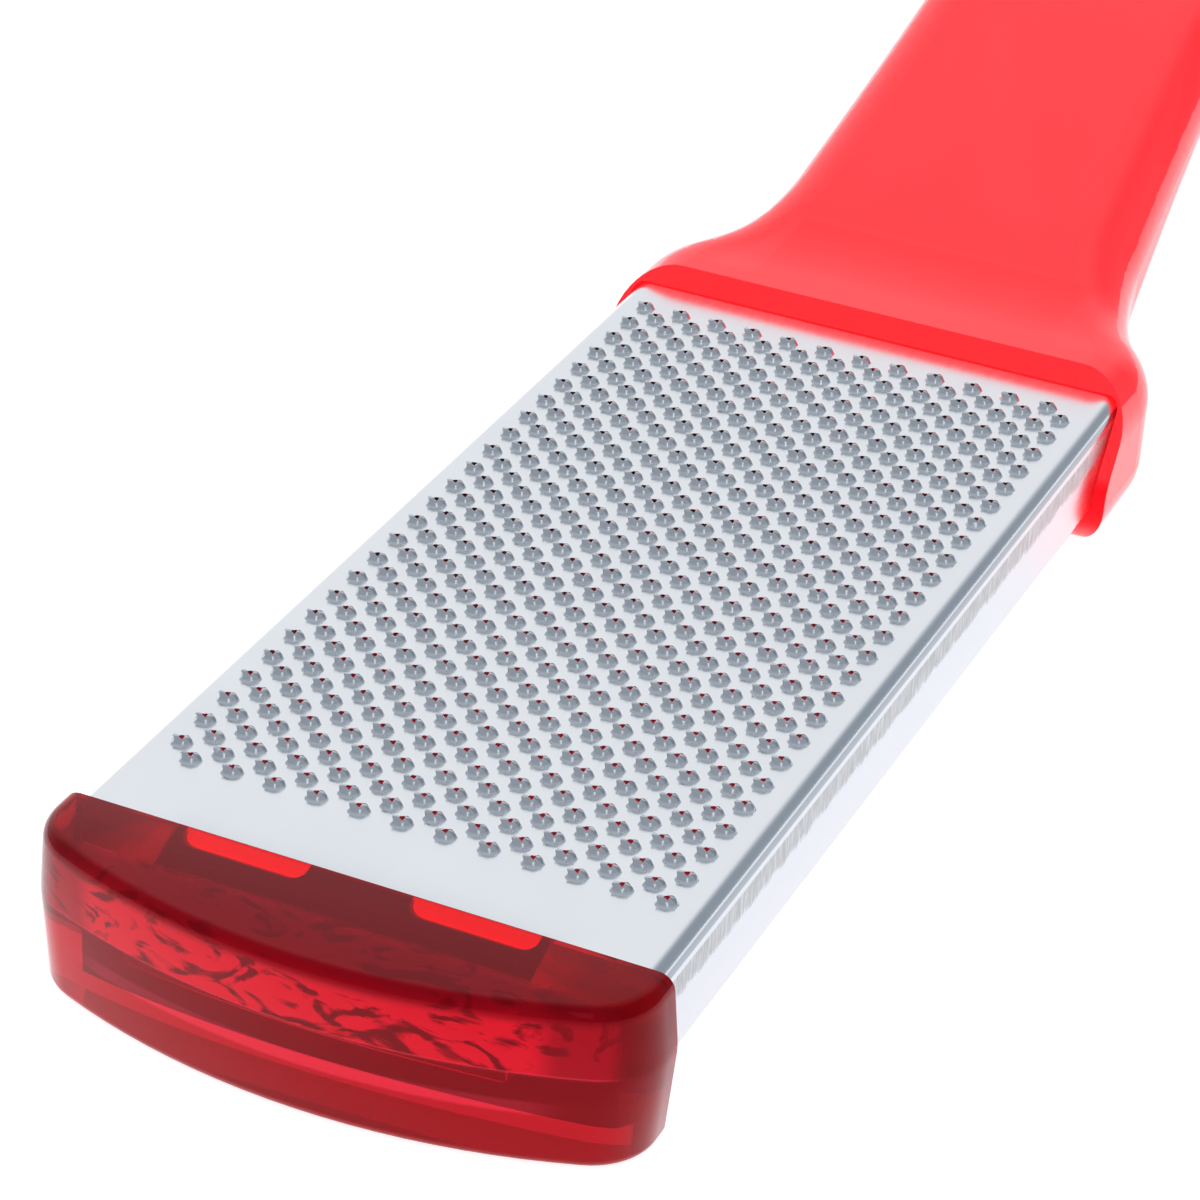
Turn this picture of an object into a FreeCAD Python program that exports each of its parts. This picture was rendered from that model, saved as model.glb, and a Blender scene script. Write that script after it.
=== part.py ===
"""Foot file: a punched steel plate bent round a clear core, with a nose cap, a raised handle and a fine face.

Millimetres and degrees. X runs across the file, Y from the nose towards the handle and Z up. The origin is on
the fine face that the file rests on, below the middle of the field of teeth.
"""

import FreeCAD
import Part
import Sketcher

import math
import os
import re

# Driving dimensions, each a cell of the sheet under its own alias

SIZES = {
    # rasp plate, bent from one sheet: bends are inside radii
    "plate_width": 40.0,
    "plate_height": 8.0,
    "plate_length": 88.5,
    "plate_wall": 0.5,
    "top_bend": 0.5,
    "low_bend": 0.4,
    "lip_width": 3.0,
    # teeth punched up through the plate, and the margins round their field
    "tooth_pitch": 3.0,
    "tooth_root": 1.0,
    "tooth_pit": 0.6,
    "tooth_tip": 0.42,
    "tooth_height": 0.7,
    "side_margin": 2.75,
    "front_margin": 6.75,
    "rear_margin": 8.25,
    # tongue that the plate's top ends in, inside the cap
    "tongue_width": 25.4,
    "tongue_run": 3.0,
    "tongue_drop": 2.5,
    "tongue_flat": 2.5,
    "window_width": 8.6,
    "window_depth": 1.3,
    "window_spread": 15.6,
    "window_round": 1.1,
    # core, with a land below the lips, a tenon for the cap and a tang for the handle
    "fit_gap": 0.1,
    "land_drop": 2.6,
    "tenon_height": 3.4,
    "tang_width": 24.0,
    "tang_height": 5.0,
    "tang_length": 12.0,
    # fine face and the foam that holds it
    "emery_thick": 0.5,
    "foam_thick": 0.7,
    "pad_width": 33.0,
    "pad_round": 2.5,
    "pad_front_gap": 4.5,
    "pad_rear_gap": 1.8,
    # nose cap: how far it stands out past the plate, and its outlines at the top, the crease and the base
    "cap_proud": 0.1,
    "cap_top_bulge": 0.1,
    "cap_top_cheek": 1.8,
    "cap_crease": 6.9,
    "cap_crease_band": 0.8,
    "cap_crease_bulge": 1.4,
    "cap_base_bulge": 0.7,
    "cap_cheek": 0.5,
    "cap_corner": 5.0,
    "cap_bow": 47.0,
    "cap_round": 0.8,
    # handle, seen from the side: its top line, then its underside
    "collar_lip": 1.6,
    "brow_cover": 2.8,
    "neck_gap": 0.5,
    "lift_radius": 25.0,
    "lift_slope": 18.7,
    "lift_run": 30.0,
    "level_radius": 90.0,
    "toe_cover": 12.6,
    "chin_round": 4.5,
    "heel_gap": 0.2,
    "heel_radius": 20.0,
    "heel_slope": 24.0,
    "belly_radius": 80.0,
    "grip_thick": 10.0,
    "rim_share": 0.45,
    # handle, seen from above
    "collar_wall": 1.05,
    "shoulder_cover": 0.8,
    "shoulder_round": 10.0,
    "shoulder_turn": 38.0,
    "shoulder_hollow": 20.0,
    "neck_taper": 4.5,
    "waist_hollow": 675.0,
    "swell_hollow": 900.0,
    "swell_turn": 3.0,
    "hang_hole": 6.0,
    "hang_inset": 9.0,
    # how far cuts run past the faces that they open
    "overrun": 1.0,
}

doc = FreeCAD.newDocument("foot_file")
sheet = doc.addObject("Spreadsheet::Sheet", "sizes")
for row, (alias, number) in enumerate(SIZES.items(), start=1):
    sheet.set(f"A{row}", alias)
    sheet.set(f"B{row}", str(number))
    sheet.setAlias(f"B{row}", alias)
doc.recompute()


def bound(text):
    """Point each alias in an expression at its cell."""
    return re.sub(r"[a-z_]+", lambda word: f"sizes.{word[0]}" if word[0] in SIZES else word[0], text)


def value(text):
    """The number that an expression comes to."""
    return float(sheet.evalExpression(bound(text)))


# Places that several pieces share

SIDE = "(plate_width / 2)"
SLOT = f"({SIDE} - lip_width)"
FIELD_END = "((plate_length - front_margin - rear_margin) / 2)"
FRONT = f"(-{FIELD_END} - front_margin)"
REAR = f"({FIELD_END} + rear_margin)"
LAND = "(emery_thick + foam_thick)"
BASE = f"({LAND} + land_drop)"
TOP = f"({BASE} + plate_height)"
TOE = f"({REAR} - toe_cover)"
TONGUE_TOP = f"({TOP} - tongue_drop)"
TONGUE_LOW = f"({TONGUE_TOP} - plate_wall)"
TONGUE_BEND = f"({FRONT} - tongue_run)"
TONGUE_END = f"({TONGUE_BEND} - tongue_flat)"
TENON_HIGH = f"({TONGUE_LOW} - fit_gap)"
TENON_LOW = f"({TENON_HIGH} - tenon_height)"
TANG_LOW = f"({BASE} + (plate_height - tang_height) / 2)"
TANG_HIGH = f"({TANG_LOW} + tang_height)"
TANG_END = f"({REAR} + tang_length)"

# Outlines: a corner (x, y) starts a line, and (x, y, radius, side) starts an arc


def rectangle(left, right, low, high):
    return [(left, low), (right, low), (right, high), (left, high)]


def both_sides(half):
    """Close an outline from its right half, which may end on the middle line."""
    arcs = [corner[2:] for corner in half]
    back = [(f"-{x}", y, *arc) for (x, y, *_), arc in zip(half[:0:-1], arcs[-2::-1])]
    back.append((f"-{half[0][0]}", half[0][1]))
    if half[-1][0] != "0":
        return half + back
    return half[:-1] + [("0", half[-1][1], *arcs[-2])] + back[1:]


def channel_outline(grow, low_round, top_round):
    """The plate's section as one rounded block, grown outwards by a distance."""
    side = f"({SIDE} + {grow})"
    low = f"({BASE} - {grow})"
    high = f"({TOP} + {grow})"
    return both_sides(
        [
            (f"({side} - {low_round})", low, low_round, 1),
            (side, f"({low} + {low_round})"),
            (side, f"({high} - {top_round})", top_round, 1),
            (f"({side} - {top_round})", high),
        ]
    )


def arc_between(start, stop, radius, side):
    """An arc of less than a half circle, its centre to the left (side 1) or right (side -1) of the way it runs."""
    chord = stop - start
    across = FreeCAD.Vector(-chord.y, chord.x, 0).normalize()
    rise = math.sqrt(radius**2 - (chord.Length / 2) ** 2)
    centre = (start + stop) / 2 + across * side * rise
    ends = (start, stop) if side > 0 else (stop, start)
    angles = [math.atan2(point.y - centre.y, point.x - centre.x) for point in ends]
    return Part.ArcOfCircle(Part.Circle(centre, FreeCAD.Vector(0, 0, 1), radius), *angles)


# Sketches and features


def new_body(name):
    body = doc.addObject("PartDesign::Body", name)
    body.Label = name
    return body


def bind(sketch, rule, text):
    number = sketch.addConstraint(rule)
    sketch.setExpression(f"Constraints[{number}]", bound(text))


def bind_point(sketch, edge, end, x_text, y_text):
    for axis, line, text in (("X", -2, x_text), ("Y", -1, y_text)):
        if text == "0":
            sketch.addConstraint(Sketcher.Constraint("PointOnObject", edge, end, line))
        else:
            bind(sketch, Sketcher.Constraint(f"Distance{axis}", -1, 1, edge, end, value(text)), text)


def draw_outline(sketch, corners):
    points = [FreeCAD.Vector(value(corner[0]), value(corner[1]), 0) for corner in corners]
    edges = []
    for start, stop, corner in zip(points, points[1:] + points[:1], corners):
        if len(corner) == 2:
            edges.append((sketch.addGeometry(Part.LineSegment(start, stop)), 1, 2))
            continue
        radius, side = corner[2:]
        edge = sketch.addGeometry(arc_between(start, stop, value(radius), side))
        bind(sketch, Sketcher.Constraint("Radius", edge, value(radius)), radius)
        edges.append((edge, 1, 2) if side > 0 else (edge, 2, 1))
    for (edge, first, last), (after, after_first, _), corner in zip(edges, edges[1:] + edges[:1], corners):
        sketch.addConstraint(Sketcher.Constraint("Coincident", edge, last, after, after_first))
        bind_point(sketch, edge, first, corner[0], corner[1])


def draw_circle(sketch, x_text, y_text, diameter):
    middle = FreeCAD.Vector(value(x_text), value(y_text), 0)
    edge = sketch.addGeometry(Part.Circle(middle, FreeCAD.Vector(0, 0, 1), value(diameter) / 2))
    bind(sketch, Sketcher.Constraint("Diameter", edge, value(diameter)), diameter)
    bind_point(sketch, edge, 3, x_text, y_text)


def new_sketch(body, name, plane, place, *outlines):
    """A sketch parallel to one of the body's planes, at a place along that plane's normal."""
    sketch = body.newObject("Sketcher::SketchObject", name)
    origin = next(feature for feature in body.Origin.OriginFeatures if feature.Role == plane)
    sketch.AttachmentSupport = [(origin, "")]
    sketch.MapMode = "FlatFace"
    sketch.setExpression("AttachmentOffset.Base.z", bound(place))
    for corners in outlines:
        draw_outline(sketch, corners)
    return sketch


def add_pad(body, name, sketch, length, side="One side", reverse=False):
    pad = body.newObject("PartDesign::Pad", name)
    pad.Profile = sketch
    pad.SideType = side
    pad.Reversed = reverse
    pad.setExpression("Length", bound(length))
    doc.recompute()


def add_pocket(body, name, sketch, length, side="One side", reverse=False):
    volume = body.Shape.Volume
    pocket = body.newObject("PartDesign::Pocket", name)
    pocket.Profile = sketch
    pocket.SideType = side
    pocket.Reversed = reverse
    pocket.setExpression("Length", bound(length))
    doc.recompute()
    if body.Shape.Volume >= volume:
        raise RuntimeError(f"{name} cuts nothing from {body.Label}")


def pad_along(body, name, front, rear, corners):
    """Pad an outline in X and Z from front to rear."""
    sketch = new_sketch(body, f"{name}_outline", "XZ_Plane", f"-{front}", corners)
    add_pad(body, name, sketch, f"{rear} - {front}", reverse=True)


def pocket_along(body, name, front, rear, corners):
    """Cut an outline in X and Z from front to rear."""
    sketch = new_sketch(body, f"{name}_outline", "XZ_Plane", f"-{front}", corners)
    add_pocket(body, name, sketch, f"{rear} - {front}")


def pad_up(body, name, low, high, corners):
    """Pad an outline in X and Y from low to high."""
    sketch = new_sketch(body, f"{name}_outline", "XY_Plane", low, corners)
    add_pad(body, name, sketch, f"{high} - {low}")


def pad_across(body, name, width, corners):
    """Pad an outline in Y and Z to both sides of the middle."""
    sketch = new_sketch(body, f"{name}_outline", "YZ_Plane", "0", corners)
    add_pad(body, name, sketch, width, side="Symmetric")


def add_fillet(body, name, radius, wanted):
    """Round the edges of the body's last feature that a test picks."""
    base = body.Tip
    picked = [f"Edge{number}" for number, edge in enumerate(base.Shape.Edges, start=1) if wanted(edge)]
    fillet = body.newObject("PartDesign::Fillet", name)
    fillet.Base = (base, picked)
    fillet.setExpression("Radius", bound(radius))
    doc.recompute()


# Rasp plate: the bent blank, then the teeth that are punched through it


def make_blank():
    body = new_body("plate_blank")
    outer = channel_outline("0", "(low_bend + plate_wall)", "(top_bend + plate_wall)")
    inner = channel_outline("(-plate_wall)", "low_bend", "top_bend")
    mouth = rectangle(f"-{SLOT}", SLOT, f"({BASE} - overrun)", f"({BASE} + plate_height / 2)")
    pad_along(body, "bent_sheet", FRONT, REAR, outer)
    pocket_along(body, "hollow", FRONT, REAR, inner)
    pocket_along(body, "mouth", FRONT, REAR, mouth)
    tongue = [
        (FRONT, TOP),
        (TONGUE_BEND, TONGUE_TOP),
        (TONGUE_END, TONGUE_TOP),
        (TONGUE_END, TONGUE_LOW),
        (TONGUE_BEND, TONGUE_LOW),
        (FRONT, f"({TOP} - plate_wall)"),
    ]
    pad_across(body, "tongue", "tongue_width", tongue)
    near = "((window_spread - window_width) / 2)"
    far = "((window_spread + window_width) / 2)"
    tip = f"({FRONT} - window_depth)"
    window = [
        (near, FRONT),
        (near, f"({tip} + window_round)", "window_round", 1),
        (f"({near} + window_round)", tip),
        (f"({far} - window_round)", tip, "window_round", 1),
        (far, f"({tip} + window_round)"),
        (far, FRONT),
    ]
    twin = [(f"-{x}", y, *((arc[0], -arc[1]) if arc else ())) for x, y, *arc in window]
    windows = new_sketch(body, "windows_outline", "XY_Plane", TOP, window, twin)
    add_pocket(body, "windows", windows, "plate_height")
    return body


def face_from(edges, outward):
    """A flat face inside a closed run of edges, turned to look outwards."""
    face = Part.Face(Part.Wire(edges))
    if face.normalAt(0, 0).dot(outward) < 0:
        face.reverse()
    return face


def tooth_faces(middle, turn):
    """One tooth: three petals burst up round a three-sided pit. Returns its faces, its root and its pit."""

    def ring(radius, level, lead):
        angles = [math.radians(turn + lead + 120 * corner) for corner in range(3)]
        steps = [FreeCAD.Vector(radius * math.cos(angle), radius * math.sin(angle), level) for angle in angles]
        return [Part.Vertex(middle + step) for step in steps]

    roots = ring(value("tooth_root"), value(TOP), 0)
    tips = ring(value("tooth_tip"), value(f"{TOP} + tooth_height"), 60)
    pits = ring(value("tooth_pit"), value(f"{TOP} - plate_wall"), 0)
    following = (1, 2, 0)
    root_edges = [Part.Edge(roots[at], roots[after]) for at, after in enumerate(following)]
    pit_edges = [Part.Edge(pits[at], pits[after]) for at, after in enumerate(following)]
    bore_edges = [Part.Edge(root, pit) for root, pit in zip(roots, pits)]
    faces = []
    for at, after in enumerate(following):
        left = Part.Edge(roots[at], tips[at])
        right = Part.Edge(tips[at], roots[after])
        low_left = Part.Edge(pits[at], tips[at])
        low_right = Part.Edge(tips[at], pits[after])
        outward = tips[at].Point - middle
        outward.z = 0
        faces.append(face_from([root_edges[at], right, left], outward))
        faces.append(face_from([bore_edges[at], low_left, left], -outward))
        faces.append(face_from([right, bore_edges[after], low_right], -outward))
        faces.append(face_from([pit_edges[at], low_right, low_left], -outward))
    root_hole = Part.Wire(root_edges)
    root_hole.reverse()
    return faces, root_hole, Part.Wire(pit_edges)


def steps_in(span, step):
    """How many whole steps a span holds."""
    return math.floor(round(span / step, 6))


def tooth_places():
    """The middle of each tooth and its turn: columns lie half a pitch apart, every other one set back and turned."""
    pitch = value("tooth_pitch")
    columns = 1 + steps_in(value("plate_width - 2 * side_margin"), pitch / 2)
    rows = 1 + steps_in(2 * value(FIELD_END) - pitch / 2, pitch)
    for column in range(columns):
        side = 1 if column % 2 == 0 else -1
        for row in range(rows):
            x = (column - (columns - 1) / 2) * pitch / 2
            y = (row - (rows - 1) / 2) * pitch + side * pitch / 4
            yield FreeCAD.Vector(x, y, 0), side * 90


def pierced(face, holes):
    """A flat face with holes in it, looking the same way."""
    plain = Part.Face(face.OuterWire)
    if plain.normalAt(0, 0).dot(face.normalAt(0, 0)) < 0:
        plain.reverse()
    plain.cutHoles(holes)
    return plain


def make_rasp_plate(blank):
    """Swap the blank's flat top and the face below it for pierced ones, and close the teeth between them."""
    up = FreeCAD.Vector(0, 0, 1)
    levels = {value(TOP): up, value(f"{TOP} - plate_wall"): -up}
    kept = []
    flats = {}
    for face in blank.Shape.Faces:
        middle = face.CenterOfMass
        normal = face.normalAt(0, 0)
        for level, way in levels.items():
            if normal.dot(way) > math.cos(math.radians(1)) and abs(middle.z - level) < value("plate_wall") / 4:
                flats[level] = face
                break
        else:
            kept.append(face)
    roots = []
    pits = []
    for middle, turn in tooth_places():
        faces, root, pit = tooth_faces(middle, turn)
        kept.extend(faces)
        roots.append(root)
        pits.append(pit)
    top, under = (flats[level] for level in levels)
    kept.append(pierced(top, roots))
    kept.append(pierced(under, pits))
    plate = doc.addObject("Part::Feature", "rasp_plate")
    plate.Label = "rasp_plate"
    plate.Shape = Part.Solid(Part.Shell(kept))
    plate.Placement = blank.Placement
    return plate


# Core: a bar that fills the channel, with a land that stands below its lips, a tenon and a tang


def make_core():
    body = new_body("core")
    land = f"({SLOT} - fit_gap)"
    tenon = "(tongue_width / 2)"
    tang = "(tang_width / 2)"
    pad_along(body, "bar", FRONT, REAR, channel_outline("(-plate_wall - fit_gap)", "low_bend", "top_bend"))
    land_section = rectangle(f"-{land}", land, LAND, f"({BASE} + plate_height / 2)")
    pad_along(body, "land", FRONT, f"({TOE} - fit_gap)", land_section)
    pad_along(body, "tenon", TONGUE_END, FRONT, rectangle(f"-{tenon}", tenon, TENON_LOW, TENON_HIGH))
    pad_along(body, "tang", REAR, TANG_END, rectangle(f"-{tang}", tang, TANG_LOW, TANG_HIGH))
    return body


# Fine face: an emery sheet on foam, between the cap and the collar's toe


def make_pad(name, low, high):
    body = new_body(name)
    side = "(pad_width / 2)"
    front = f"({FRONT} + pad_front_gap)"
    rear = f"({TOE} - pad_rear_gap)"
    outline = both_sides(
        [
            (f"({side} - pad_round)", front, "pad_round", 1),
            (side, f"({front} + pad_round)"),
            (side, f"({rear} - pad_round)", "pad_round", 1),
            (f"({side} - pad_round)", rear),
        ]
    )
    pad_up(body, f"{name}_pad", low, high, outline)
    return body


# Nose cap: a blunt nose with a crease round it, hollowed for the tongue and the tenon


def nose_outline(bulge, cheek, inset="0"):
    """The cap from above, drawn in by an inset: straight cheeks, then corners that run into one wide bow."""
    side = f"({SIDE} + {bulge} - {inset})"
    turn = f"(cap_corner - {inset})"
    bow = f"(cap_bow - {inset})"
    reach = "(cap_bow - cap_corner)"
    drop = f"sqrt({reach}^2 - ({side} - {turn})^2)"
    bow_centre = f"({FRONT} - {cheek} + {drop})"
    tangent_x = f"(({side} - {turn}) * {bow} / {reach})"
    tangent_y = f"({bow_centre} - {drop} * {bow} / {reach})"
    return both_sides(
        [
            (side, FRONT),
            (side, f"({FRONT} - {cheek})", turn, -1),
            (tangent_x, tangent_y, bow, -1),
        ]
    )


def make_nose_cap():
    body = new_body("nose_cap")
    crown = f"({TOP} + cap_proud)"
    base = ("cap_base_bulge", "cap_cheek")
    crease = nose_outline("cap_crease_bulge", "cap_cheek")
    top = ("cap_top_bulge", "cap_top_cheek")
    bevel = "(cap_round * (1 - cos(45)))"
    levels = {
        "base_rim": ("0", nose_outline(*base, "cap_round")),
        "base_round": (bevel, nose_outline(*base, bevel)),
        "base_side": ("cap_round", nose_outline(*base)),
        "crease_low": ("(cap_crease - cap_crease_band / 2)", crease),
        "crease_high": ("(cap_crease + cap_crease_band / 2)", crease),
        "crown_side": (f"({crown} - cap_round)", nose_outline(*top)),
        "crown_round": (f"({crown} - {bevel})", nose_outline(*top, bevel)),
        "crown_rim": (crown, nose_outline(*top, "cap_round")),
    }
    sketches = [new_sketch(body, name, "XY_Plane", place, outline) for name, (place, outline) in levels.items()]
    loft = body.newObject("PartDesign::AdditiveLoft", "nose")
    loft.Profile = sketches[0]
    loft.Sections = sketches[1:]
    loft.Ruled = True
    doc.recompute()
    socket = [
        (FRONT, f"({TOP} + fit_gap)"),
        (TONGUE_BEND, f"({TONGUE_TOP} + fit_gap)"),
        (f"({TONGUE_END} - fit_gap)", f"({TONGUE_TOP} + fit_gap)"),
        (f"({TONGUE_END} - fit_gap)", f"({TENON_LOW} - fit_gap)"),
        (FRONT, f"({TENON_LOW} - fit_gap)"),
    ]
    sketch = new_sketch(body, "socket_outline", "YZ_Plane", "0", socket)
    add_pocket(body, "socket", sketch, "tongue_width + 2 * fit_gap", side="Symmetric")
    return body


# Handle: a collar over the plate's rear end, drawn in to a grip that rises and levels off

COLLAR_TOP = f"({TOP} + collar_lip)"
BROW = f"({REAR} - brow_cover)"
NECK = f"({REAR} + neck_gap)"
HEEL = f"({REAR} + heel_gap)"
LIFT_BEND = "(1 - cos(lift_slope))"
LIFT_Y = f"({NECK} + lift_radius * sin(lift_slope))"
LIFT_Z = f"({COLLAR_TOP} + lift_radius * {LIFT_BEND})"
RUN_Y = f"({LIFT_Y} + lift_run * cos(lift_slope))"
RUN_Z = f"({LIFT_Z} + lift_run * sin(lift_slope))"
LEVEL_Y = f"({RUN_Y} + level_radius * sin(lift_slope))"
GRIP_HIGH = f"({RUN_Z} + level_radius * {LIFT_BEND})"
GRIP_LOW = f"({GRIP_HIGH} - grip_thick)"
HEEL_BEND = "(1 - cos(heel_slope))"
HEEL_Y = f"({HEEL} + heel_radius * sin(heel_slope))"
HEEL_Z = f"(heel_radius * {HEEL_BEND})"
BELLY_Z = f"({GRIP_LOW} - belly_radius * {HEEL_BEND})"
BELLY_Y = f"({HEEL_Y} + ({BELLY_Z} - {HEEL_Z}) / tan(heel_slope))"
FLAT_Y = f"({BELLY_Y} + belly_radius * sin(heel_slope))"

LEAN = f"atan(({BROW} - {TOE}) / {COLLAR_TOP})"
CHIN_RUN = f"(chin_round * tan(45 deg + {LEAN} / 2))"
CHIN_Y = f"({TOE} + {CHIN_RUN})"
CHIN_FRONT = f"({TOE} + {CHIN_RUN} * sin({LEAN}))"
CHIN_Z = f"({CHIN_RUN} * cos({LEAN}))"

COLLAR_X = f"({SIDE} + collar_wall)"
COLLAR_Y = f"({REAR} - shoulder_cover)"
SHOULDER_X = f"({COLLAR_X} - shoulder_round * (1 - cos(shoulder_turn)))"
SHOULDER_Y = f"({COLLAR_Y} + shoulder_round * sin(shoulder_turn))"
NECK_X = f"({SHOULDER_X} - shoulder_hollow * (cos(neck_taper) - cos(shoulder_turn)))"
NECK_Y = f"({SHOULDER_Y} + shoulder_hollow * (sin(shoulder_turn) - sin(neck_taper)))"
WAIST_X = f"({NECK_X} - waist_hollow * (1 - cos(neck_taper)))"
WAIST_Y = f"({NECK_Y} + waist_hollow * sin(neck_taper))"
SWELL_X = f"({WAIST_X} + swell_hollow * (1 - cos(swell_turn)))"
SWELL_Y = f"({WAIST_Y} + swell_hollow * sin(swell_turn))"
END_ROUND = f"({SWELL_X} / cos(swell_turn))"
END_Y = f"({SWELL_Y} + {SWELL_X} * tan(swell_turn) + {END_ROUND})"


def make_handle():
    body = new_body("handle")
    profile = [
        (TOE, "0"),
        (HEEL, "0", "heel_radius", 1),
        (HEEL_Y, HEEL_Z),
        (BELLY_Y, BELLY_Z, "belly_radius", -1),
        (FLAT_Y, GRIP_LOW),
        (f"({END_Y} + overrun)", GRIP_LOW),
        (f"({END_Y} + overrun)", GRIP_HIGH),
        (LEVEL_Y, GRIP_HIGH, "level_radius", 1),
        (RUN_Y, RUN_Z),
        (LIFT_Y, LIFT_Z, "lift_radius", -1),
        (NECK, COLLAR_TOP),
        (BROW, COLLAR_TOP),
    ]
    pad_across(body, "side_profile", f"2 * ({COLLAR_X} + overrun)", profile)
    plan = both_sides(
        [
            (COLLAR_X, f"({TOE} - overrun)"),
            (COLLAR_X, COLLAR_Y, "shoulder_round", 1),
            (SHOULDER_X, SHOULDER_Y, "shoulder_hollow", -1),
            (NECK_X, NECK_Y, "waist_hollow", -1),
            (WAIST_X, WAIST_Y, "swell_hollow", -1),
            (SWELL_X, SWELL_Y, END_ROUND, 1),
            ("0", END_Y),
        ]
    )
    margin = f"({COLLAR_X} + 2 * overrun)"
    waste = rectangle(f"-{margin}", margin, f"({TOE} - 2 * overrun)", f"({END_Y} + 2 * overrun)")
    trim = new_sketch(body, "plan_outline", "XY_Plane", "0", waste, plan)
    add_pocket(body, "plan", trim, f"2 * ({GRIP_HIGH} + overrun)", side="Symmetric")
    brow = FreeCAD.Vector(0, value(BROW), value(COLLAR_TOP))
    toe = FreeCAD.Vector(0, value(TOE), 0)
    mouth = (brow - toe).cross(FreeCAD.Vector(1, 0, 0)).normalize()
    slack = value("fit_gap") / 4

    def rim(edge):
        box = edge.BoundBox
        crosswise = box.YLength < slack and box.ZLength < slack
        upright = box.XLength < slack and box.YLength < slack
        at_mouth = all(abs((vertex.Point - toe).dot(mouth)) < slack for vertex in edge.Vertexes)
        return not (crosswise or upright or at_mouth)

    add_fillet(body, "grip_rims", "grip_thick * rim_share", rim)
    chin = [
        (CHIN_Y, "0", "chin_round", -1),
        (CHIN_FRONT, CHIN_Z),
        (f"({CHIN_FRONT} - overrun)", CHIN_Z),
        (f"({TOE} - overrun)", "(-overrun)"),
        (CHIN_Y, "(-overrun)"),
    ]
    sketch = new_sketch(body, "chin_outline", "YZ_Plane", "0", chin)
    add_pocket(body, "chin", sketch, f"2 * ({COLLAR_X} + overrun)", side="Symmetric")
    seat = channel_outline("fit_gap", "(low_bend + plate_wall)", "(top_bend + plate_wall)")
    tang = "(tang_width / 2 + fit_gap)"
    slot = rectangle(f"-{tang}", tang, f"({TANG_LOW} - fit_gap)", f"({TANG_HIGH} + fit_gap)")
    pocket_along(body, "plate_seat", f"({TOE} - overrun)", REAR, seat)
    pocket_along(body, "tang_slot", REAR, f"({TANG_END} + fit_gap)", slot)
    hang = new_sketch(body, "hang_outline", "XY_Plane", "0")
    draw_circle(hang, "0", f"({END_Y} - hang_inset)", "hang_hole")
    add_pocket(body, "hang_hole_cut", hang, f"2 * ({GRIP_HIGH} + overrun)", side="Symmetric")
    return body


# The whole file: build, check and write each piece

pieces = [
    make_rasp_plate(make_blank()),
    make_core(),
    make_pad("foam_tape", "emery_thick", LAND),
    make_pad("emery_sheet", "0", "emery_thick"),
    make_nose_cap(),
    make_handle(),
]
doc.recompute()

for item in doc.Objects:
    if {"Invalid", "Error"} & set(item.State):
        raise RuntimeError(f"{item.Label} failed: {item.State}")
for piece in pieces:
    if piece.Shape.isNull() or not piece.Shape.isValid() or len(piece.Shape.Solids) != 1:
        raise RuntimeError(f"{piece.Label} is not one valid solid")

os.makedirs("parts", exist_ok=True)
for piece in pieces:
    piece.Shape.exportStep(f"parts/{piece.Label}.step")
    print(piece.Label, round(piece.Shape.Volume, 1), "mm3", piece.Shape.BoundBox)
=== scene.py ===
# %% [markdown]
# # Foot file
# This lesson dresses a foot file that has already been designed as solids. The solids stay as they are and
# give the main sizes. What they can't show, such as torn steel teeth, clear plastic and grit, is made here.

# %% Load the solids
import math

import bpy
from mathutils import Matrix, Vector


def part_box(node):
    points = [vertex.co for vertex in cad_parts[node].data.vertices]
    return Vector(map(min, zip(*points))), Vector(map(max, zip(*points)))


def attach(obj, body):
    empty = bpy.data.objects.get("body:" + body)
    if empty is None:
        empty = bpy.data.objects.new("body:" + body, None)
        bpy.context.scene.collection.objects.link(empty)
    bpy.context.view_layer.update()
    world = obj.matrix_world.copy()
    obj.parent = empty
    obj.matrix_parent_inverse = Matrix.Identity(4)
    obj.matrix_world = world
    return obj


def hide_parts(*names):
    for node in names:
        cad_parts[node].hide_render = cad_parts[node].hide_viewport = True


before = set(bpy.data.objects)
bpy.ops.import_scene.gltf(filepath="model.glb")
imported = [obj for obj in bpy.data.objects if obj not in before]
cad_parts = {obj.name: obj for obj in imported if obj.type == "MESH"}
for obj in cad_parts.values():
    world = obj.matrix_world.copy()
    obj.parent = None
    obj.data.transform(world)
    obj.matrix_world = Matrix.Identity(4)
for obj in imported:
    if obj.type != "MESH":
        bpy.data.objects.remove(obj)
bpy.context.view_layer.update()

MM = 0.001

# %% [markdown]
# ## Ways of working
# An operator acts on whatever is selected, so every step starts by clearing the selection. In edit mode the
# faces, edges or corners to work on are picked in code by where they are, as a mouse would pick them.

# %% Helpers for selecting
# How near two places count as one, and how much of a direction counts as along an axis or across it.
TOUCH = 0.01 * MM
ALONG = 0.9
ACROSS = 0.1


def enter_edit():
    bpy.ops.object.mode_set(mode="EDIT")


def leave_edit():
    bpy.ops.object.mode_set(mode="OBJECT")


def start_clean():
    """Leave edit mode and select nothing."""
    if bpy.context.object and bpy.context.object.mode != "OBJECT":
        leave_edit()
    bpy.ops.object.select_all(action="DESELECT")


def only(piece):
    """Make one piece the selected and active one."""
    start_clean()
    piece.select_set(True)
    bpy.context.view_layer.objects.active = piece


def pick(piece, kind, wanted):
    """In edit mode, select the VERT, EDGE or FACE elements that a test picks, and say how many."""
    enter_edit()
    bpy.ops.mesh.select_mode(type=kind)
    bpy.ops.mesh.select_all(action="DESELECT")
    leave_edit()
    mesh = piece.data
    elements = {"VERT": mesh.vertices, "EDGE": mesh.edges, "FACE": mesh.polygons}[kind]
    count = 0
    for element in elements:
        element.select = wanted(element)
        count += element.select
    enter_edit()
    return count


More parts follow.
